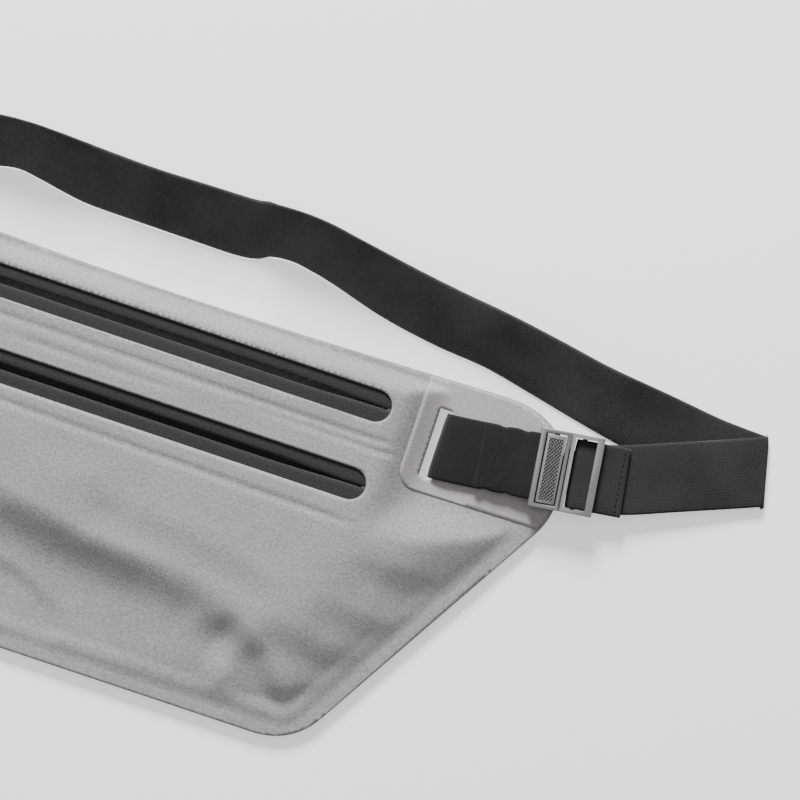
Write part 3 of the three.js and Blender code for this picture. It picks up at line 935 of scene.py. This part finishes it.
def make_stitches():
    for side, name in ((1, "right_loop_stitches"), (-1, "left_loop_stitches")):
        y = SLOT["y"]
        rows = [
            (*row_across(side * 123.4, y + 2.2, 6.74, 90 + side * 6.5, 11.2), 12),
            (*row_across(side * 131.2, y + 3.1, 6.84, 90 + side * 7, 11.2), 12),
        ]
        stitches = stitch_rows(name, rows, "pouch")
        if side > 0:
            crumple(stitches)
    x, y = from_buckle(1, 31)
    stitch_rows("strap_end_stitches", [(*row_across(x, y, 6.82, across_buckle(1), 11.4), 11)], "pouch")
    hem = row_across(-194.5, 64.6, 5.55, 70, 11.4)
    stitch_rows("strap_tail_stitches", [(*hem, 11)], "pouch")


# ---- zips ----
def mouth(x):
    """Half of the gap between the two tapes at x: shut past the slider and at the far end."""
    return 0.25 + 0.85 * float(ease((x + 81) / 3)) * float(ease((80 - x) / 34))


def make_tape(zip_name, row, side):
    """A tape bonded behind the front, with its inner edge turned down over the coil."""
    middle = PLAN_Y[zip_name]
    outer = 10.5
    columns = 9
    xs = np.linspace(-86, 86, 130)
    plan = []
    for x in xs:
        inner = mouth(x)
        for share in np.linspace(0, 1, columns):
            plan.append((x, middle + side * (inner + (outer - inner) * share**1.4)))
    plan = np.array(plan)
    heights = front_height(plan[:, 0], plan[:, 1]) - CLOTH - TAPE_GAP
    edge = np.tile(np.linspace(0, 1, columns), len(xs))
    heights = heights - 0.5 * np.exp(-((edge / 0.12) ** 2))
    faces = []
    for i in range(len(xs) - 1):
        for k in range(columns - 1):
            corner = i * columns + k
            quad = (corner, corner + 1, corner + columns + 1, corner + columns)
            faces.append(quad if side < 0 else quad[::-1])
    tape = sheet_object(f"{zip_name}_zip_{row}_tape_cloth", plan, faces, heights, TAPE_THICK, TAPE)
    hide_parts(f"{zip_name}_zip_{row}_tape")
    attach(tape, "pouch")
    return tape


def make_coil(zip_name, row, side):
    """A nylon coil sewn behind the tape's inner edge: a flattened helix."""
    middle = PLAN_Y[zip_name]
    pitch = 1.3
    z = (COIL_BOX[0].z + COIL_BOX[1].z) / 2 / MM
    turns = int(160 / pitch)
    steps = turns * 8
    curve = bpy.data.curves.new("coil", "CURVE")
    curve.dimensions = "3D"
    spline = curve.splines.new("POLY")
    spline.points.add(steps)
    for k in range(steps + 1):
        angle = k * math.pi / 4
        x = -81 + k * pitch / 8
        y = middle + side * (mouth(x) + 0.75 + 0.5 * math.cos(angle))
        spline.points[k].co = (*place(x, y, z + 0.04 + 0.32 * math.sin(angle)), 1)
    curve.bevel_depth = 0.22 * MM
    curve.bevel_resolution = 1
    curve.use_fill_caps = True
    holder = new_object("coil_curve", curve)
    graph = bpy.context.evaluated_depsgraph_get()
    mesh = bpy.data.meshes.new_from_object(holder.evaluated_get(graph))
    bpy.data.objects.remove(holder)
    coil = new_object(f"{zip_name}_zip_{row}_coil_nylon", mesh)
    coil.data.materials.append(COIL)
    shade_smooth(coil)
    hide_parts(f"{zip_name}_zip_{row}_coil")
    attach(coil, "pouch")
    return coil


# ---- hard parts ----
def refined(node, body, material, bevel=0.00025, segments=3, change=None):
    """The CAD node's own shape with its edges rounded over."""
    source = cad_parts[node]
    mesh = source.data.copy()
    mesh.materials.clear()
    if change:
        change(mesh)
    tidy = bmesh.new()
    tidy.from_mesh(mesh)
    bmesh.ops.remove_doubles(tidy, verts=tidy.verts, dist=1e-6)
    bmesh.ops.dissolve_limit(tidy, angle_limit=math.radians(2), verts=tidy.verts, edges=tidy.edges)
    tidy.to_mesh(mesh)
    tidy.free()
    obj = new_object(node + "_finish", mesh)
    rounding = obj.modifiers.new("rounding", "BEVEL")
    rounding.width = bevel
    rounding.segments = segments
    rounding.limit_method = "ANGLE"
    rounding.angle_limit = math.radians(35)
    apply_modifiers(obj)
    obj.data.materials.append(material)
    shade_smooth(obj)
    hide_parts(node)
    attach(obj, body)
    return obj


def make_knurl():
    """The release pad's grip: crossed diagonal ridges inside a plain rim."""
    spacing, pitch, depth = 0.17, 1.15, 0.28
    xs = np.arange(3.2, 8.5, spacing)
    ys = np.arange(-11.4, 11.5, spacing)
    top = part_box("release_pad")[1].z / MM
    vertices = []
    for x in xs:
        for y in ys:
            first = abs(((x + y * 0.8) / pitch) % 1 - 0.5) * 2
            second = abs(((x - y * 0.8) / pitch) % 1 - 0.5) * 2
            edge = min(x - xs[0], xs[-1] - x, y - ys[0], ys[-1] - y)
            height = depth * first * second if edge > 0.01 else -0.1
            px, py = from_buckle(1, x, y)
            vertices.append(place(px, py, top + height))
    rows = len(ys)
    faces = [
        (i * rows + k, (i + 1) * rows + k, (i + 1) * rows + k + 1, i * rows + k + 1)
        for i in range(len(xs) - 1)
        for k in range(rows - 1)
    ]
    mesh = bpy.data.meshes.new("release_pad_grip")
    mesh.from_pydata(vertices, [], faces)
    grip = new_object("release_pad_grip", mesh)
    grip.data.materials.append(GRIP)
    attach(grip, "pad")


def thin_neck(middle):
    """A change that thins a slider's neck, which the drawn-together tapes pass on both sides."""

    def change(mesh):
        for vertex in mesh.vertices:
            x, y, z = vertex.co.x / MM, vertex.co.y / MM - SHIFT_Y - middle, vertex.co.z / MM
            if abs(x - SLIDER_X) < 2.8 and abs(y) < 1.7 and NECK_LOW < z < NECK_HIGH:
                vertex.co.y -= 0.88 * y * MM

    return change


def make_hardware():
    refined("latch_frame", "latch", GUNMETAL)
    refined("release_pad", "pad", GUNMETAL, 0.0002)
    refined("receiver_frame", "pouch", GUNMETAL)
    refined("strap_adjuster", "pouch", GUNMETAL)
    refined("strap_keeper", "keeper", LOOP_WEBBING, 0.0002, 2)
    make_knurl()
    for name, middle in PLAN_Y.items():
        neck = thin_neck(middle)
        refined(f"{name}_zip_slider", f"{name}_slider", BLACK_METAL, 0.00015, 3, neck)
        refined(f"{name}_zip_pull", f"{name}_pull", BLACK_METAL, 0.00022)
        for end in ("open", "closed"):
            refined(f"{name}_zip_{end}_end_stop", "pouch", BLACK_METAL, 0.0002, 2)


def make_zips():
    for name in PLAN_Y:
        for row, side in (("far", 1), ("near", -1)):
            make_tape(name, row, side)
            make_coil(name, row, side)


add_camera()
add_studio()
make_front()
make_back()
make_divider()
make_patch(1, "right_end_patch")
make_patch(-1, "left_end_patch")
make_webbing()
make_stitches()
make_zips()
make_hardware()
